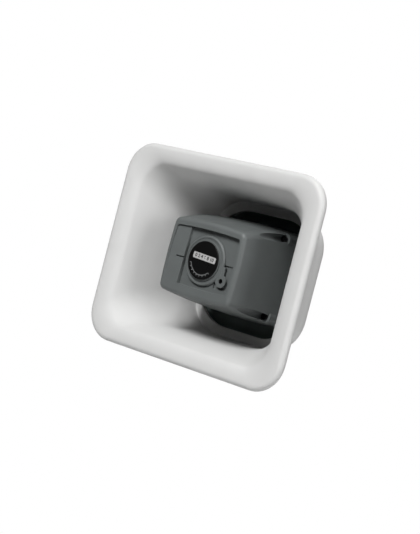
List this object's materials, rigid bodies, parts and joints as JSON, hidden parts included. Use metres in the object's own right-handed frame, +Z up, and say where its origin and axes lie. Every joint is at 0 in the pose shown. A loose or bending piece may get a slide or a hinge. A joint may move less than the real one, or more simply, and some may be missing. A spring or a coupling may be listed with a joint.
{
  "type": "pa horn speaker",
  "caption": "Rectangular paging horn with a flared light grey bell, a dark driver housing in its throat, a level dial and a wall mount that pans and tilts.",
  "frame": {"origin": "centre of the wall plate's back face", "axes": "+Z up, +Y into the wall, the bell's mouth faces -Y"},
  "size_m": [0.266, 0.158, 0.216],
  "materials": {
    "bell_shell": "light grey moulded plastic with a fine texture",
    "dark_shell": "dark grey moulded plastic, satin",
    "badge": "black, semi-gloss",
    "black_plastic": "black moulded plastic",
    "black_screw": "blackened steel",
    "bracket_metal": "light grey powder coat",
    "steel": "bright zinc",
    "plated_steel": "dull zinc",
    "cast_alloy": "as cast",
    "ferrite": "dull black",
    "copper": "enamelled wire and tinned pins",
    "dome_film": "clear amber film",
    "board": "green lacquer",
    "lead_cover": "coloured lead insulation",
    "seal": "black rubber"
  },
  "bodies": {
    "base": {"wall_plate": "bracket_metal", "pan_bolt": "steel", "pan_nut": "steel"},
    "swivel": {"swivel_link": "bracket_metal"},
    "horn": {"bell": "bell_shell", "back_plate": "bell_shell", "back_gasket": "seal", "back_screws": "steel", "cable_gland": "black_plastic", "supply_lead": "seal", "tilt_bolt": "steel", "tilt_nut": "steel", "driver_housing": "dark_shell", "housing_screws": "black_screw", "housing_cover": "dark_shell", "driver_frame": "cast_alloy", "top_plate": "plated_steel", "magnet": "ferrite", "pole_yoke": "plated_steel", "voice_coil": "copper", "diaphragm": "dome_film", "phase_plug": "black_plastic", "driver_screws": "steel", "amplifier_board": "board", "board_screws": "steel", "transformer_core": "plated_steel", "transformer_winding": "copper", "capacitors": "black_plastic", "heatsink": "cast_alloy", "terminal_block": "black_plastic", "board_leads": "lead_cover", "driver_leads": "lead_cover", "level_control": "cast_alloy", "control_nut": "steel", "control_leads": "copper"},
    "dial": {"control_dial": "dark_shell", "badge_disc": "badge", "dial_lug_screw": "black_screw", "dial_shaft": "steel"}
  },
  "joints": [
    {"name": "pan", "type": "hinge", "parent": "base", "child": "swivel", "pos_m": [0, -0.016, 0], "axis": [0, 0, 1], "range_deg": [-25, 25]},
    {"name": "tilt", "type": "hinge", "parent": "swivel", "child": "horn", "pos_m": [0, -0.034, 0], "axis": [1, 0, 0], "range_deg": [-25, 25]},
    {"name": "dial_turn", "type": "hinge", "parent": "horn", "child": "dial", "pos_m": [0.0025, -0.15, 0.0014], "axis": [0, -1, 0], "range_deg": [0, 60]}
  ]
}
